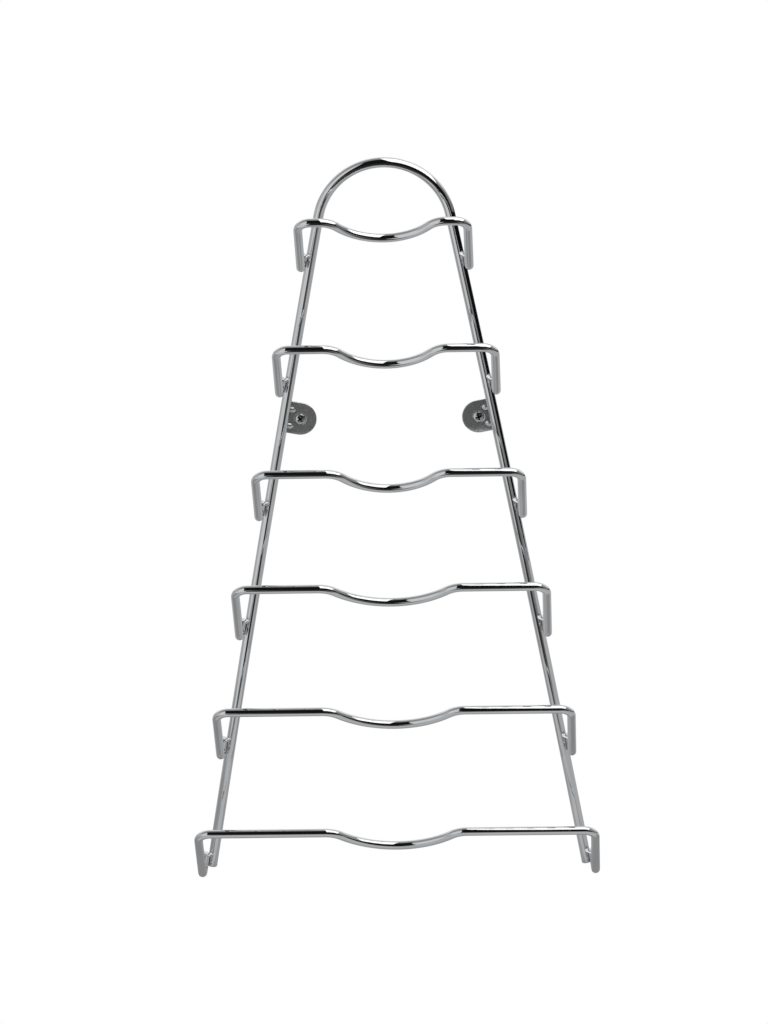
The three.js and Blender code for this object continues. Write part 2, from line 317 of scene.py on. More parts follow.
# The tongue of metal that each rail weld squeezes out, from the tail's end to the front of the side wire:
# (outwards, forwards, up the wire) from the side wire's centre line at the weld's height.
LIP_START = Vector((5.6 * MM, 5.8 * MM, -4.0 * MM))
LIP_END = Vector((0.6 * MM, 4.4 * MM, -0.6 * MM))
LIP_HALF_WIDTH = 1.5 * MM
LIP_HALF_THICKNESS = 0.5 * MM
LIP_BACK_RISE = 0.35  # how steeply its top rises towards the wall
LIP_STEPS = 16
LIP_SIDES = 20
LIP_BLUNTNESS = 0.003  # keeps its two end rings from shrinking to a point


def fillet_arc(near_radius, far_radius, distance, fillet_radius):
    """Points across a weld: an arc hollowed between two circles, one at 0 and one at a distance."""
    near = near_radius + fillet_radius
    far = far_radius + fillet_radius
    cx = (distance**2 + near**2 - far**2) / (2 * distance)
    cy = math.sqrt(near**2 - cx**2)
    start = math.atan2(-cy, -cx)
    end = math.atan2(-cy, distance - cx)
    if start > end:
        start -= 2 * math.pi
    arc = []
    for i in range(FILLET_ARC_STEPS + 1):
        angle = start + (end - start) * i / FILLET_ARC_STEPS
        arc.append((cx + fillet_radius * math.cos(angle), cy + fillet_radius * math.sin(angle)))
    return arc


def closed_sweep(loops):
    """Faces that join loops of equal length one after another and close off both ends."""
    count = len(loops[0])
    points = [point for loop in loops for point in loop]
    faces = []
    for i in range(len(loops) - 1):
        for j in range(count):
            k = (j + 1) % count
            a, b = i * count, (i + 1) * count
            faces.append((a + j, b + j, b + k, a + k))
    top = (len(loops) - 1) * count
    faces.append(tuple(range(count)))
    faces.append(tuple(top + j for j in reversed(range(count))))
    return points, faces


def spaced_shares(steps):
    """Places from -1 to 1 that crowd towards both ends."""
    return [math.sin(math.pi / 2 * (2 * i / steps - 1)) for i in range(steps + 1)]


def weld_fillets(far_radius, size, half_length, seed):
    """Fused metal in the two valleys beside the line where a side wire touches another surface. Its points
    are (towards the other surface, sideways, along the wire) from the side wire's centre line."""
    distance = HOOP_RADIUS + GAP + far_radius
    loops = []
    for t in spaced_shares(FILLET_STEPS):
        swell = math.sqrt(max(0.0, 1 - t * t))
        wobble = 1 + FILLET_WOBBLE * math.sin(FILLET_WAVES * t + seed)
        fillet = LEAST_FILLET + size * swell * wobble
        arc = fillet_arc(HOOP_RADIUS, far_radius, distance, fillet)
        loop = arc + [(towards, -aside) for towards, aside in reversed(arc)]
        loops.append([(towards, aside, t * half_length) for towards, aside in loop])
    return closed_sweep(loops)


def squared(value):
    """Pushes a sine or cosine towards 1 or -1, which turns a circle into a square with round corners."""
    return math.copysign(math.sqrt(abs(value)), value)


def weld_lip():
    """The flat-topped tongue of squeezed-out metal. Its points are (outwards, forwards, along the wire) from
    the side wire's centre line."""
    ahead = (LIP_END - LIP_START).normalized()
    wide = Vector((0, -1, LIP_BACK_RISE))
    wide = (wide - ahead * wide.dot(ahead)).normalized()
    thick = ahead.cross(wide)
    loops = []
    for t in spaced_shares(LIP_STEPS):
        swell = math.sqrt(max(LIP_BLUNTNESS, 1 - t**4))
        centre = LIP_START + (LIP_END - LIP_START) * ((t + 1) / 2)
        loop = []
        for j in range(LIP_SIDES):
            turn = 2 * math.pi * j / LIP_SIDES
            across = squared(math.cos(turn)) * LIP_HALF_WIDTH * swell
            up = squared(math.sin(turn)) * LIP_HALF_THICKNESS * swell
            loop.append(centre + wide * across + thick * up)
        loops.append(loop)
    return closed_sweep(loops)


def faces_out(points, faces):
    """The faces of a closed shell, turned so that they face out of it."""
    volume = 0.0
    for face in faces:
        for i in range(1, len(face) - 1):
            volume += points[face[0]].dot(points[face[i]].cross(points[face[i + 1]]))
    return faces if volume > 0 else [tuple(reversed(face)) for face in faces]


def make_weld(node, centre, axes, shells):
    """A weld from closed shells, whose points are given along three axes from its centre."""
    points = []
    places = []
    faces = []
    for shell_points, shell_faces in shells:
        base = len(points)
        shell = [axes[0] * a + axes[1] * b + axes[2] * c for a, b, c in shell_points]
        points += [centre + point for point in shell]
        places += [(a / MM, b / MM, c / MM) for a, b, c in shell_points]
        faces += [tuple(base + k for k in face) for face in faces_out(shell, shell_faces)]
    piece = new_piece("fused_" + node, points, faces, places)
    finish_piece(piece, node, "weld_metal")


def make_rail_welds(index):
    """The two welds that hold a rail's tails to the side wires, each with its fillets and its tongue."""
    lip_points, lip_faces = weld_lip()
    for side in SIDES:
        node = f"rail_{index + 1}_weld_{side}"
        low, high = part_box(node)
        z = (low.z + high.z) / 2
        x, lean = side_wire_at(z)
        _, rail_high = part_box(f"rail_{index + 1}")
        tail_forward = HOOP_Y - (rail_high.y - RAIL_RADIUS)
        distance = HOOP_RADIUS + GAP + RAIL_RADIUS
        tail_angle = math.acos(tail_forward / distance)
        outwards, upwards = side_axes(side, lean)
        across = outwards * math.sin(tail_angle) - Y * math.cos(tail_angle)
        sideways = outwards * math.cos(tail_angle) + Y * math.sin(tail_angle)
        centre = Vector((SIDES[side] * x, HOOP_Y, z))
        seed = 2 * index + SIDES[side]
        fillet_points, fillet_faces = weld_fillets(
            RAIL_RADIUS, RAIL_FILLET["size"], RAIL_FILLET["half_length"], seed
        )
        drop = RAIL_FILLET["below_weld"]
        lowered = [(towards, aside, along - drop) for towards, aside, along in fillet_points]
        turned = []
        for out, forward, along in lip_points:
            towards_tail = out * math.sin(tail_angle) + forward * math.cos(tail_angle)
            aside = out * math.cos(tail_angle) - forward * math.sin(tail_angle)
            turned.append((towards_tail, aside, along))
        shells = [(lowered, fillet_faces), (turned, lip_faces)]
        make_weld(node, centre, (across, sideways, upwards), shells)


def make_plate_welds(side):
    """The two welds between a side wire and the ribs of its wall plate."""
    for place in ("upper", "lower"):
        node = f"plate_weld_{side}_{place}"
        low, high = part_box(node)
        z = (low.z + high.z) / 2
        x, lean = side_wire_at(z)
        outwards, upwards = side_axes(side, lean)
        centre = Vector((SIDES[side] * x, HOOP_Y, z))
        fillets = weld_fillets(FLAT_RADIUS, PLATE_FILLET["size"], PLATE_FILLET["half_length"], z / MM)
        make_weld(node, centre, (Y, outwards, upwards), [fillets])


# ---- Wall plates ----

PLATE = {
    "radius": 11.5 * MM,
    "tongue": 14.4 * MM,
    "corner": 1.5 * MM,
    "hole": 2.3 * MM,
    "sink": 4.3 * MM,
    "sink_depth": 1.2 * MM,
    "rounding": 0.45 * MM,
    "back_inset": 0.3,  # share of the rounding by which the back is smaller
}
RIB = {
    "radius": 2.2 * MM,
    "height": 1.0 * MM,
    "offset": 5.9 * MM,
    "start": 5.9 * MM,
    "end": 11.5 * MM,
    "dent_radius": 1.2 * MM,
    "dent_depth": 0.7 * MM,
}
PLATE_SIDES = 160
PLATE_ROWS = {"front": 44, "rim": 6, "back": 28}
PLATE_SHARP_ANGLE = 40 * RAD


def plate_reach(angle):
    """How far a plate's outline is from its screw in a direction. Angle 0 points to its square end."""
    ux, uz = math.cos(angle), abs(math.sin(angle))
    radius, tongue, corner = PLATE["radius"], PLATE["tongue"], PLATE["corner"]
    if ux <= 0:
        return radius
    corner_x, corner_z = tongue - corner, radius - corner
    to_end = tongue / ux
    if to_end * uz <= corner_z:
        return to_end
    to_edge = radius / uz
    if to_edge * ux <= corner_x:
        return to_edge

    # Otherwise the direction leaves through a rounded corner.
    ahead = corner_x * ux + corner_z * uz
    aside_squared = corner_x * corner_x + corner_z * corner_z - ahead * ahead
    return ahead + math.sqrt(corner * corner - aside_squared)


def rib_distance(x, z):
    """How far a point on a plate is from the middle line of the nearer rib."""
    nearest = min(max(x, RIB["start"]), RIB["end"])
    return math.hypot(x - nearest, abs(z) - RIB["offset"])


def bulge(distance, radius):
    """A smooth hump: 1 in the middle, level there and at its rim."""
    t = min(1.0, distance / radius)
    return (1 - t * t) ** 2


def plate_front(x, z, thickness):
    """How far a plate's front stands off the wall."""
    sink_slope = PLATE["sink_depth"] / (PLATE["sink"] - PLATE["hole"])
    sunk = max(0.0, PLATE["sink"] - math.hypot(x, z)) * sink_slope
    rib = RIB["height"] * bulge(rib_distance(x, z), RIB["radius"])
    return thickness - sunk + rib


def plate_back(x, z):
    """How far a plate's back stands off the wall."""
    return RIB["dent_depth"] * bulge(rib_distance(x, z), RIB["dent_radius"])


def plate_profile():
    """Places from the hole over the front to the outline and along the back to the hole again: which face,
    the share of the way out, and how far round the rim."""
    rows = []
    for i in range(PLATE_ROWS["front"] + 1):
        rows.append(("front", i / PLATE_ROWS["front"], 0.0))
    for i in range(1, PLATE_ROWS["rim"]):
        rows.append(("rim", 1.0, i / PLATE_ROWS["rim"]))
    for i in range(PLATE_ROWS["back"] + 1):
        rows.append(("back", 1 - i / PLATE_ROWS["back"], 0.0))
    return rows


def plate_place(where, share, turn, angle, thickness):
    """A point of a plate's surface: (towards the square end, up, off the wall) from its screw."""
    inner = PLATE["hole"]
    rounding = PLATE["rounding"]
    reach = plate_reach(angle)
    outer = reach - rounding if where == "front" else reach - rounding * PLATE["back_inset"]
    distance = inner + (outer - inner) * share
    if where == "rim":
        distance = reach - rounding + rounding * math.sin(math.pi / 2 * turn)
    x, z = distance * math.cos(angle), distance * math.sin(angle)
    if where == "back":
        return x, z, plate_back(x, z)
    return x, z, plate_front(x, z, thickness) - rounding * (1 - math.cos(math.pi / 2 * turn))


def make_plate(side):
    """A pressed wall plate: its surface is swept around the hole and joined to itself."""
    node = f"wall_plate_{side}"
    screw_low, screw_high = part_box(f"screw_{side}")
    plate_low, plate_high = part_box(node)
    thickness = plate_high.y - plate_low.y - RIB["height"]
    screw_x = (screw_low.x + screw_high.x) / 2
    screw_z = (screw_low.z + screw_high.z) / 2
    _, lean = side_wire_at(screw_z)
    outwards, upwards = side_axes(side, lean)
    origin = Vector((screw_x, plate_high.y, screw_z))
    points = []
    places = []
    rows = plate_profile()
    for where, share, turn in rows:
        for j in range(PLATE_SIDES):
            angle = 2 * math.pi * j / PLATE_SIDES
            x, z, off = plate_place(where, share, turn, angle, thickness)
            points.append(origin + outwards * x + upwards * z - Y * off)
            places.append((x / MM, z / MM, off / MM))
    faces = []
    count = len(rows)
    for i in range(count):
        for j in range(PLATE_SIDES):
            k = (j + 1) % PLATE_SIDES
            a, b = i * PLATE_SIDES, ((i + 1) % count) * PLATE_SIDES
            faces.append((a + j, b + j, b + k, a + k))
    if side == "left":
        faces = [tuple(reversed(face)) for face in faces]
    piece = new_piece(f"pressed_plate_{side}", points, faces, places)
    piece.data.set_sharp_from_angle(angle=PLATE_SHARP_ANGLE)
    finish_piece(piece, node, "plate_metal")


# ---- Screws ----

# Radii, lengths and depths, except the recess's width.
SCREW = {
    "head": 3.7 * MM,
    "head_depth": 1.4 * MM,
    "rim": 0.25 * MM,
    "dome": 0.9 * MM,
    "neck": 1.6 * MM,
    "neck_length": 4 * MM,
    "core": 1.3 * MM,
    "thread": 1.9 * MM,
    "pitch": 1.8 * MM,
    "point": 4 * MM,
    "recess_reach": 2.3 * MM,
    "recess_width": 1.0 * MM,
    "recess_depth": 1.9 * MM,
}
SCREW_TURNS = {"left": 40 * RAD, "right": 20 * RAD}
SCREW_SIDES = 48
SCREW_SHARP_ANGLE = 35 * RAD
DOME_STEPS = 10
DOME_INSET = 0.3  # share of the rim's height by which the dome is narrower than the head
RIM_START = 0.08 * MM  # where the head is widest
RIM_ROUNDING = 0.05 * MM
NECK_FILLET = {"radius": 0.15 * MM, "length": 0.3 * MM}
NECK_END = 0.2 * MM  # of the plain neck ahead of the thread

THREAD_STEPS = 10  # along the screw for each turn of the thread
THREAD_HALF_WIDTH = 0.3  # of the ridge at its foot, as a share of the pitch
THREAD_BLUNTNESS = 0.8  # 1 is a straight-sided ridge
THREAD_FADE = 0.4  # share of the point over which the ridge fades out
POINT_THREAD = 0.4  # share of its height that the thread keeps at the point

# The cross that cuts the recess: how wide it is where it enters and at its foot, as a share of its size.
CUTTER_MARGIN = 1 * MM  # how far it stands out of the head
CUTTER_GROWTH = {"mouth": 1.25, "foot": 0.72}
CUTTER_STRAIGHT = {"width": 0.6, "reach": 0.3}  # share of its size that doesn't taper
CUTTER_OVERLAP = -0.2  # where each arm starts, as a share of its reach from the axis
PAINTED_SHADE_DEPTH = 0.06 * MM  # below the dome where the painted shade in the recess starts


def thread_height(y, angle, start, end):
    """The thread's share of its full height at a place on the shank: one steep ridge a turn."""
    phase = ((y - start) / SCREW["pitch"] - angle / (2 * math.pi)) % 1.0
    ridge = max(0.0, 1 - abs(phase - 0.5) / THREAD_HALF_WIDTH) ** THREAD_BLUNTNESS
    run_in = min(1.0, max(0.0, (y - start) / SCREW["pitch"]))
    return ridge * run_in * min(1.0, max(0.0, (end - y) / (THREAD_FADE * SCREW["point"])))


def screw_rows(length):
    """Places along a screw from its dome back to its point, with the plain radius there and whether it is
    threaded, and where the thread starts."""
    rows = []
    thread_start = SCREW["head_depth"] + SCREW["neck_length"]
    for i in range(1, DOME_STEPS + 1):
        angle = math.pi / 2 * i / DOME_STEPS
        radius = (SCREW["head"] - SCREW["rim"] * DOME_INSET) * math.sin(angle)
        rows.append((-SCREW["dome"] * math.cos(angle), radius, False))
    rows.append((RIM_START, SCREW["head"], False))
    rows.append((SCREW["rim"], SCREW["head"] - RIM_ROUNDING, False))
    rows.append((SCREW["head_depth"], SCREW["neck"] + NECK_FILLET["radius"], False))
    rows.append((SCREW["head_depth"] + NECK_FILLET["length"], SCREW["neck"], False))
    rows.append((thread_start - NECK_END, SCREW["neck"], False))
    step = SCREW["pitch"] / THREAD_STEPS
    y = thread_start
    while y < length - step / 2:
        taper = min(1.0, (length - y) / SCREW["point"])
        rows.append((y, SCREW["core"] * taper, True))
        y += step
    return rows, thread_start


def tapered(straight, growth):
    """The share of its size that the cutter has, where part of it is straight and the rest tapers."""
    return straight + (1 - straight) * growth


def cross_cutter(origin, turn):
    """A tapering cross that cuts the recess of a screw's head: four arms that overlap at the axis."""
    box_faces = ((0, 1, 2, 3), (7, 6, 5, 4), (0, 4, 5, 1), (1, 5, 6, 2), (2, 6, 7, 3), (3, 7, 4, 0))
    ends = (
        (-SCREW["dome"] - CUTTER_MARGIN, CUTTER_GROWTH["mouth"]),
        (SCREW["recess_depth"] - SCREW["dome"], CUTTER_GROWTH["foot"]),
    )
    points = []
    faces = []
    for arm in range(4):
        angle = turn + arm * math.pi / 2
        along = Vector((math.cos(angle), 0, math.sin(angle)))
        aside = along.cross(Y)
        base = len(points)
        for depth, growth in ends:
            half = SCREW["recess_width"] / 2 * tapered(CUTTER_STRAIGHT["width"], growth)
            reach = SCREW["recess_reach"] * tapered(CUTTER_STRAIGHT["reach"], growth)
            for a, b in ((CUTTER_OVERLAP, -1), (1, -1), (1, 1), (CUTTER_OVERLAP, 1)):
                points.append(origin + Y * depth + along * (reach * a) + aside * (half * b))
        faces += [tuple(base + k for k in face) for face in box_faces]
    return points, faces


def make_screw(side):
    """A wood screw from the dome of its head, at low y, back to its point, with its recess cut."""
    node = f"screw_{side}"
    low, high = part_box(node)
    rim_y = low.y + SCREW["dome"]
    length = high.y - rim_y
    centre = Vector(((low.x + high.x) / 2, rim_y, (low.z + high.z) / 2))
    rows, thread_start = screw_rows(length)
    points = [centre - Y * SCREW["dome"]]
    places = [(0, 0, -SCREW["dome"] / MM)]
    for y, plain, threaded in rows:
        for j in range(SCREW_SIDES):
            angle = 2 * math.pi * j / SCREW_SIDES
            radius = plain
            if threaded:
                share = min(1.0, (length - y) / SCREW["point"])
                height = (SCREW["thread"] - SCREW["core"]) * thread_height(y, angle, thread_start, length)
                radius = plain + height * (POINT_THREAD + (1 - POINT_THREAD) * share)
            x, z = radius * math.cos(angle), radius * math.sin(angle)
            points.append(centre + Vector((x, y, z)))
            places.append((x / MM, z / MM, y / MM))
    points.append(centre + Y * length)
    places.append((0, 0, length / MM))
    tip = len(points) - 1
    faces = []
    for j in range(SCREW_SIDES):
        k = (j + 1) % SCREW_SIDES
        faces.append((0, 1 + j, 1 + k))
        for i in range(len(rows) - 1):
            a, b = 1 + i * SCREW_SIDES, 1 + (i + 1) * SCREW_SIDES
            faces.append((a + j, b + j, b + k, a + k))
        last = 1 + (len(rows) - 1) * SCREW_SIDES
        faces.append((last + j, tip, last + k))
    piece = new_piece(f"cross_head_screw_{side}", points, faces, places)
    cut_recess(piece, centre, SCREW_TURNS[side])
    piece.data.set_sharp_from_angle(angle=SCREW_SHARP_ANGLE)
    finish_piece(piece, node, "screw_zinc")


def cut_recess(piece, centre, turn):
    """Cuts the cross recess and marks its walls and floor with an attribute for painted shade."""
    points, faces = cross_cutter(centre, turn)
    mesh = bpy.data.meshes.new("recess_cutter")
    mesh.from_pydata(points, [], faces)
    cutter = bpy.data.objects.new("recess_cutter", mesh)
    bpy.context.scene.collection.objects.link(cutter)
    boolean = piece.modifiers.new("recess", "BOOLEAN")
    boolean.operation = "DIFFERENCE"
    boolean.solver = "EXACT"
    boolean.use_self = True
    boolean.object = cutter
    bpy.context.view_layer.update()
    graph = bpy.context.evaluated_depsgraph_get()
    cut = bpy.data.meshes.new_from_object(piece.evaluated_get(graph))
    # Points on the recess's walls and floor below the dome get 1, for painted shade.
    painted_shade = cut.attributes.new("painted_shade", "FLOAT", "POINT")
    for i, vertex in enumerate(cut.vertices):
        place = vertex.co - centre
        aside = math.hypot(place.x, place.z)
        dome = -SCREW["dome"] * math.sqrt(max(0.0, 1 - (aside / SCREW["head"]) ** 2))
        inside = aside < SCREW["recess_reach"] and place.y < SCREW["recess_depth"] - 0.5 * SCREW["dome"]
        painted_shade.data[i].value = 1.0 if inside and place.y - dome > PAINTED_SHADE_DEPTH else 0.0
    piece.modifiers.clear()
    piece.data = cut
    cut.shade_smooth()
    bpy.data.objects.remove(cutter)


# ---- Materials ----

EVEN = (1, 1, 1)  # the stretch of a noise that is alike in every direction
MIX_COLOUR_INPUTS = (0, 6, 7)  # a Mix node's factor and its two colours
MIX_COLOUR_OUTPUT = 2
# The near-black painted into the screw's recess as its shade.
PAINTED_SHADE_COLOUR = (0.02, 0.02, 0.02, 1.0)


class Surface:
    """A metal built from nodes, with colour, roughness and bump that vary over the surface."""

    def __init__(self, name):
        """Starts as a bare metal, with the place attribute at hand."""
        self.material = bpy.data.materials.new(name)
        self.material.use_nodes = True
        self.tree = self.material.node_tree
        self.shader = self.tree.nodes["Principled BSDF"]
        self.shader.inputs["Metallic"].default_value = 1.0
        self.place = self.tree.nodes.new("ShaderNodeAttribute")
        self.place.attribute_name = "wire_place"

    def noise(self, stretch, scale, detail=4.0, roughness=0.55):
        """Noise over the place attribute, in millimetres. A stretch below 1 draws it out along that axis."""
        mapping = self.tree.nodes.new("ShaderNodeMapping")
        mapping.inputs["Scale"].default_value = stretch
        self.tree.links.new(self.place.outputs["Vector"], mapping.inputs["Vector"])
        noise = self.tree.nodes.new("ShaderNodeTexNoise")
        noise.inputs["Scale"].default_value = scale
        noise.inputs["Detail"].default_value = detail
        noise.inputs["Roughness"].default_value = roughness
        self.tree.links.new(mapping.outputs["Vector"], noise.inputs["Vector"])
        return noise.outputs["Fac"]

    def ramp(self, source, stops):
        """Turns a value into another value or colour between stops of (place, value or colour)."""
        ramp = self.tree.nodes.new("ShaderNodeValToRGB")
        elements = ramp.color_ramp.elements
        while len(elements) < len(stops):
            elements.new(0.5)
        for element, (place, value) in zip(elements, stops):
            element.position = place
            colour = value if isinstance(value, tuple) else (value, value, value)
            element.color = (*colour, 1.0)
        self.tree.links.new(source, ramp.inputs["Fac"])
        return ramp.outputs["Color"]

    def colour(self, source, stops):
        """Colours the metal by a value."""
        self.tree.links.new(self.ramp(source, stops), self.shader.inputs["Base Color"])

    def roughness(self, source, stops):
        """Roughens the metal by a value."""
        self.tree.links.new(self.ramp(source, stops), self.shader.inputs["Roughness"])

    def bump(self, layers):
        """Adds heights one over another. A layer is (source, strength, height in millimetres)."""
        normal = None
        for source, strength, height in layers:
            bump = self.tree.nodes.new("ShaderNodeBump")
            bump.inputs["Strength"].default_value = strength
            bump.inputs["Distance"].default_value = height * MM
            self.tree.links.new(source, bump.inputs["Height"])
            if normal is not None:
                self.tree.links.new(normal, bump.inputs["Normal"])
            normal = bump.outputs["Normal"]
        self.tree.links.new(normal, self.shader.inputs["Normal"])


def chrome_plate():
    """Bright chrome over drawn wire: faint draw lines, a slight waviness and a few dull specks."""
    surface = Surface("bright_chrome")
    smudge = surface.noise((1, 1, 0.25), 0.12, detail=3)
    surface.colour(smudge, [(0.3, (0.60, 0.61, 0.625)), (0.7, (0.68, 0.685, 0.695))])
    specks = surface.noise((1, 1, 0.8), 1.4, detail=2)
    surface.roughness(specks, [(0.35, 0.018), (0.62, 0.035), (0.76, 0.12)])
    draw_lines = surface.noise((1, 1, 0.03), 2.2, detail=5, roughness=0.65)
    wave = surface.noise((0.4, 0.4, 1), 0.16, detail=1)
    surface.bump([(wave, 0.8, 0.02), (draw_lines, 0.2, 0.0006)])
    return surface.material


def weld_metal():
    """Plated over fused steel: lumpy, and a little brighter than the wire."""
    surface = Surface("plated_weld")
    lumps = surface.noise(EVEN, 0.6, detail=2)
    surface.colour(lumps, [(0.3, (0.78, 0.785, 0.79)), (0.7, (0.88, 0.885, 0.89))])
    surface.roughness(surface.noise(EVEN, 1.6), [(0.35, 0.04), (0.7, 0.10)])
    surface.bump([(lumps, 0.4, 0.01), (surface.noise(EVEN, 2.0), 0.2, 0.001)])
    return surface.material


def plate_metal():
    """Satin-plated pressed sheet, slightly cloudy, with a fine rolled grain."""
    surface = Surface("satin_sheet")
    cloud = surface.noise(EVEN, 0.35, detail=4)
    surface.colour(cloud, [(0.3, (0.60, 0.605, 0.61)), (0.7, (0.72, 0.725, 0.73))])
    grain = surface.noise((0.12, 1.0, 1.0), 6.0, detail=4, roughness=0.7)
    surface.roughness(grain, [(0.3, 0.09), (0.7, 0.16)])
    surface.shader.inputs["Metallic"].default_value = 0.72
    surface.bump([(cloud, 0.3, 0.006), (grain, 0.25, 0.002)])
    return surface.material


def screw_zinc():
    """Bright mottled zinc plate, with shade painted near-black into the recess."""
    surface = Surface("bright_zinc")
    mottle = surface.noise(EVEN, 1.3, detail=4)
    clean = surface.ramp(mottle, [(0.3, (0.50, 0.51, 0.52)), (0.7, (0.68, 0.685, 0.68))])
    # The recess's walls and floor are painted near-black as shade.
    painted_shade = surface.tree.nodes.new("ShaderNodeAttribute")
    painted_shade.attribute_name = "painted_shade"
    mix = surface.tree.nodes.new("ShaderNodeMix")
    mix.data_type = "RGBA"
    factor, first, second = (mix.inputs[i] for i in MIX_COLOUR_INPUTS)
    surface.tree.links.new(painted_shade.outputs["Fac"], factor)
    surface.tree.links.new(clean, first)
    second.default_value = PAINTED_SHADE_COLOUR
    surface.tree.links.new(mix.outputs[MIX_COLOUR_OUTPUT], surface.shader.inputs["Base Color"])
    surface.roughness(surface.noise(EVEN, 3.0), [(0.3, 0.16), (0.7, 0.36)])
    surface.bump([(surface.noise(EVEN, 5.0), 0.4, 0.02)])
    return surface.material


MATERIALS = {
    "chrome": chrome_plate(),
    "weld_metal": weld_metal(),
    "plate_metal": plate_metal(),
    "screw_zinc": screw_zinc(),
}

# ---- The studio ----

WHITE = 1.0  # the brightness of the floor and the room to the camera itself

# The room as the metal sees it. Each card is (from, to) sideways from the middle plane, and (from, to) in
# pitch, which is 0 level in front, 90 overhead and 180 level behind, in degrees. Then come how soft its
# edges are and its brightness.
ROOM_GLOW = 0.37
ROOM_CARDS = [
    ((-91, -21), (-181, 58), 4, 0.86),  # pale wall on the left
    ((-91, -60), (-181, 181), 8, 0.58),  # and its duller far end
    ((-50, 60), (128, 172), 8, 1.0),  # bright wall behind
    ((-21, 3), (-100, 81), 3, 0.01),  # the dark where the camera stands
    ((-1, 62), (-100, 38), 3, 0.01),  # the dark under the softbox
    ((-1, 36), (30, 66), 3, 0.01),  # and in front of it
    ((62, 91), (-181, 181), 6, 0.24),  # wall on the right
    ((30, 91), (-181, 0), 3, 0.006),  # the dark beyond the floor
]

# The softbox's left edge runs from its front corner to its back corner.
SOFTBOX_GLOW = 1.7
SOFTBOX_WIDTH = 1.4
SOFTBOX_FRONT_CORNER = Vector((0.09, -1.2, 1.0))
SOFTBOX_BACK_CORNER = Vector((-0.10, 0.4, 1.25))

# The floor as the metal sees it glows, and its patches are painted light and painted shade, the rack's own
# painted shadow among them. Each patch is (from, to) along X and (from, to) along Y, in metres. Then come
# how soft its edges are and its brightness.
FLOOR_BELOW = 0.03  # the rack
FLOOR_GLOW = 0.50
FLOOR_REACH = {"left": -6.0, "right": 2.4, "front": -3.0, "back": 8.0}
FLOOR_PATCHES = [
    ((-9, 9), (0.15, 9), 0.1, 0.56),  # behind the rack
    ((-1.2, -0.3), (-0.35, 0.15), 0.1, 0.38),  # beside it on the left
    ((0.3, 9), (-0.8, 0.1), 0.1, 0.56),  # and on the right
    ((-0.25, 0.25), (-0.50, -0.05), 0.05, 0.62),  # just in front of it
    # The rack's painted shadow on the floor, lighter in the middle.
    ((-0.35, 0.35), (-0.06, 0.10), 0.04, 0.35),  # in its own shade
    ((-0.09, 0.09), (-0.06, 0.10), 0.06, 0.47),
    # Painted light on the left. The three patches after it are painted shade in front, where the camera
    # stands.
    ((-9, -0.22), (-9, -0.42), 0.14, 0.80),  # lit from the left
    ((0.5, 9), (-9, -0.8), 0.30, 0.27),  # in the shade of the camera, darker towards the middle
    ((0.2, 0.6), (-9, -0.62), 0.14, 0.09),
    ((-0.22, 0.22), (-9, -0.40), 0.14, 0.035),
]

CAMERA_AZIMUTH = 2.14 * RAD
CAMERA_ELEVATION = 16.81 * RAD
CAMERA_ROLL = -1.34 * RAD
CAMERA_DISTANCE = 4.0
CAMERA_LENS = 202.5  # mm
CAMERA_SENSOR = 36  # mm
TARGET_ASIDE = -0.005  # of the point it aims at from the middle of the rack
TARGET_ABOVE = 0.0062


def window(tree, value, span, soft):
    """1 where a value lies in a span, 0 outside it, with edges this soft."""
    rises = tree.nodes.new("ShaderNodeMapRange")
    falls = tree.nodes.new("ShaderNodeMapRange")
    for node, edge, ends in ((rises, span[0], (0, 1)), (falls, span[1], (1, 0))):
        node.interpolation_type = "SMOOTHSTEP"
        node.inputs["From Min"].default_value = edge - soft / 2
        node.inputs["From Max"].default_value = edge + soft / 2
        node.inputs["To Min"].default_value = ends[0]
        node.inputs["To Max"].default_value = ends[1]
        tree.links.new(value, node.inputs["Value"])
    return maths(tree, "MULTIPLY", rises.outputs["Result"], falls.outputs["Result"])


def maths(tree, operation, first, second=None):
    """The result of a maths node, for inputs that are either sockets or numbers."""
    node = tree.nodes.new("ShaderNodeMath")
    node.operation = operation
    for socket, value in zip(node.inputs, (first, second)):
        if value is None:
            continue
        if isinstance(value, (int, float)):
            socket.default_value = value
        else:
            tree.links.new(value, socket)
    return node.outputs["Value"]


def patchwork(tree, first, second, base, patches):
    """A brightness over two coordinates, with rectangular patches laid one over another on a base."""
    result = base
    for first_span, second_span, soft, brightness in patches:
        mask = maths(
            tree, "MULTIPLY", window(tree, first, first_span, soft), window(tree, second, second_span, soft)
        )
        mix = tree.nodes.new("ShaderNodeMix")
        tree.links.new(mask, mix.inputs["Factor"])
        if isinstance(result, float):
            mix.inputs["A"].default_value = result
        else:
            tree.links.new(result, mix.inputs["A"])
        mix.inputs["B"].default_value = brightness
        result = mix.outputs["Result"]
    return result


def show_white(tree, kind, brightness, output):
    """Gives an output a brightness that the metal sees, while the camera itself sees plain white."""
    path = tree.nodes.new("ShaderNodeLightPath")
    mix = tree.nodes.new("ShaderNodeMix")
    tree.links.new(path.outputs["Is Camera Ray"], mix.inputs["Factor"])
    tree.links.new(brightness, mix.inputs["A"])
    mix.inputs["B"].default_value = WHITE
    light = tree.nodes.new(kind)
    light.inputs["Color"].default_value = (1, 1, 1, 1)
    tree.links.new(mix.outputs["Result"], light.inputs["Strength"])
    tree.links.new(light.outputs[0], output.inputs["Surface"])


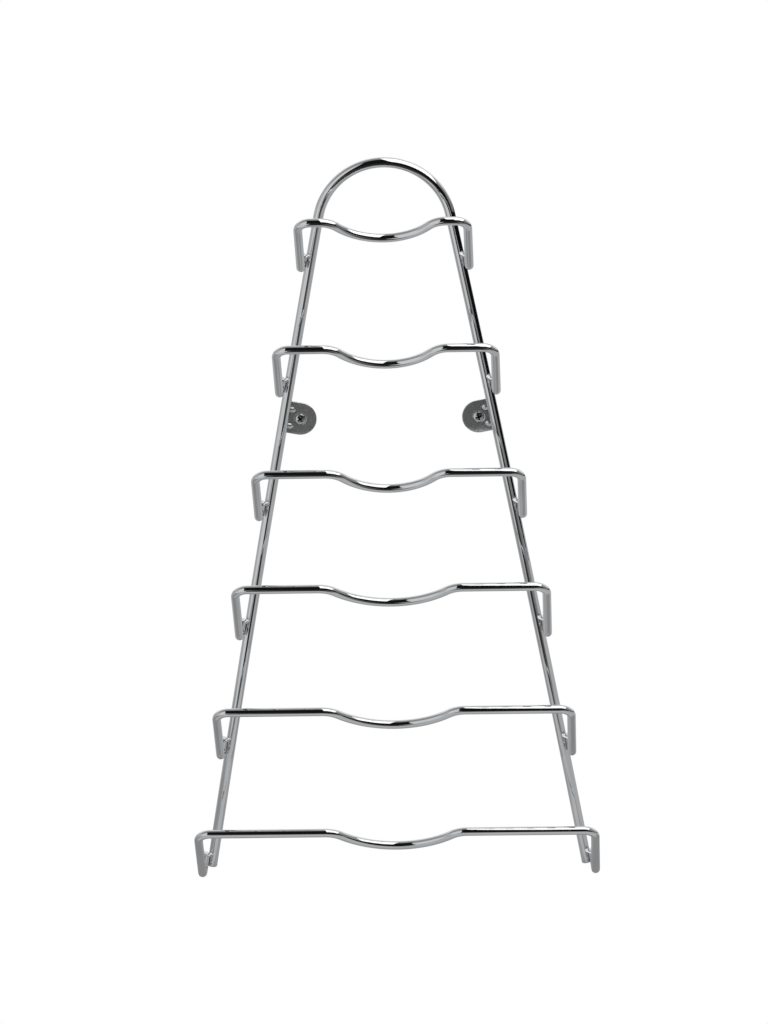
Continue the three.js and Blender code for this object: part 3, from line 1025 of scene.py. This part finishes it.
def make_floor():
    """A plain floor under the rack that glows: plain white to the camera, and to the metal patches of
    painted light and painted shade.
    """
    low, _ = CAD_BOX
    z = low.z - FLOOR_BELOW
    sides_in_turn = (("left", "front"), ("right", "front"), ("right", "back"), ("left", "back"))
    corners = [(FLOOR_REACH[x_side], FLOOR_REACH[y_side], z) for x_side, y_side in sides_in_turn]
    mesh = bpy.data.meshes.new("floor")
    mesh.from_pydata(corners, [], [(0, 1, 2, 3)])
    floor = bpy.data.objects.new("floor", mesh)
    bpy.context.scene.collection.objects.link(floor)
    material = bpy.data.materials.new("pale_floor")
    material.use_nodes = True
    tree = material.node_tree
    tree.nodes.remove(tree.nodes["Principled BSDF"])
    place = tree.nodes.new("ShaderNodeNewGeometry")
    parts = tree.nodes.new("ShaderNodeSeparateXYZ")
    tree.links.new(place.outputs["Position"], parts.inputs["Vector"])
    brightness = patchwork(tree, parts.outputs["X"], parts.outputs["Y"], FLOOR_GLOW, FLOOR_PATCHES)
    show_white(tree, "ShaderNodeEmission", brightness, tree.nodes["Material Output"])
    mesh.materials.append(material)


def make_room():
    """Soft light from all around, and dark in front where the camera stands."""
    world = bpy.data.worlds.new("studio")
    bpy.context.scene.world = world
    world.use_nodes = True
    tree = world.node_tree
    tree.nodes.clear()
    place = tree.nodes.new("ShaderNodeTexCoord")
    parts = tree.nodes.new("ShaderNodeSeparateXYZ")
    tree.links.new(place.outputs["Generated"], parts.inputs["Vector"])
    ahead = maths(tree, "MULTIPLY", parts.outputs["Y"], -1.0)
    pitch = maths(tree, "DEGREES", maths(tree, "ARCTAN2", parts.outputs["Z"], ahead))
    aside = maths(tree, "DEGREES", maths(tree, "ARCSINE", parts.outputs["X"]))
    brightness = patchwork(tree, aside, pitch, ROOM_GLOW, ROOM_CARDS)
    show_white(tree, "ShaderNodeBackground", brightness, tree.nodes.new("ShaderNodeOutputWorld"))


def make_softbox():
    """One large soft light overhead on the right, turned a little to the left and tilted forwards."""
    edge = SOFTBOX_BACK_CORNER - SOFTBOX_FRONT_CORNER
    turn = math.atan2(-edge.x, edge.y)
    tilt = math.atan2(edge.z, math.hypot(edge.x, edge.y))
    light = bpy.data.lights.new("softbox", "AREA")
    light.shape = "RECTANGLE"
    light.size = SOFTBOX_WIDTH
    light.size_y = edge.length
    light.energy = SOFTBOX_GLOW * math.pi * light.size * light.size_y
    lamp = bpy.data.objects.new("softbox", light)
    rightwards = Vector((math.cos(turn), math.sin(turn), 0))
    middle_of_edge = (SOFTBOX_FRONT_CORNER + SOFTBOX_BACK_CORNER) / 2
    lamp.location = middle_of_edge + rightwards * (SOFTBOX_WIDTH / 2)
    lamp.rotation_euler = (tilt, 0, turn)
    lamp.visible_camera = False
    bpy.context.scene.collection.objects.link(lamp)


def make_camera():
    """A long lens, a little to the right of the rack and above it, rolled slightly."""
    low, high = CAD_BOX
    target = Vector((TARGET_ASIDE, HOOP_Y, (low.z + high.z) / 2 + TARGET_ABOVE))
    back = Vector((
        math.sin(CAMERA_AZIMUTH) * math.cos(CAMERA_ELEVATION),
        -math.cos(CAMERA_AZIMUTH) * math.cos(CAMERA_ELEVATION),
        math.sin(CAMERA_ELEVATION),
    ))
    level_right = Vector((math.cos(CAMERA_AZIMUTH), math.sin(CAMERA_AZIMUTH), 0))
    level_up = back.cross(level_right)
    right = level_right * math.cos(CAMERA_ROLL) + level_up * math.sin(CAMERA_ROLL)
    up = level_up * math.cos(CAMERA_ROLL) - level_right * math.sin(CAMERA_ROLL)
    lens = bpy.data.cameras.new("camera")
    lens.lens = CAMERA_LENS
    lens.sensor_width = CAMERA_SENSOR
    camera = bpy.data.objects.new("camera", lens)
    camera.matrix_world = Matrix((
        (right.x, up.x, back.x, 0),
        (right.y, up.y, back.y, 0),
        (right.z, up.z, back.z, 0),
        (0, 0, 0, 1),
    ))
    camera.location = target + back * CAMERA_DISTANCE
    bpy.context.scene.collection.objects.link(camera)
    bpy.context.scene.camera = camera


# ---- Assembly ----

make_hoop()
for number in range(RAIL_COUNT):
    make_rail(number)
    make_rail_welds(number)
for wall_side in SIDES:
    make_plate(wall_side)
    make_plate_welds(wall_side)
    make_screw(wall_side)
make_floor()
make_room()
make_softbox()
make_camera()

view = bpy.context.scene.view_settings
view.view_transform = "Standard"
view.look = "None"
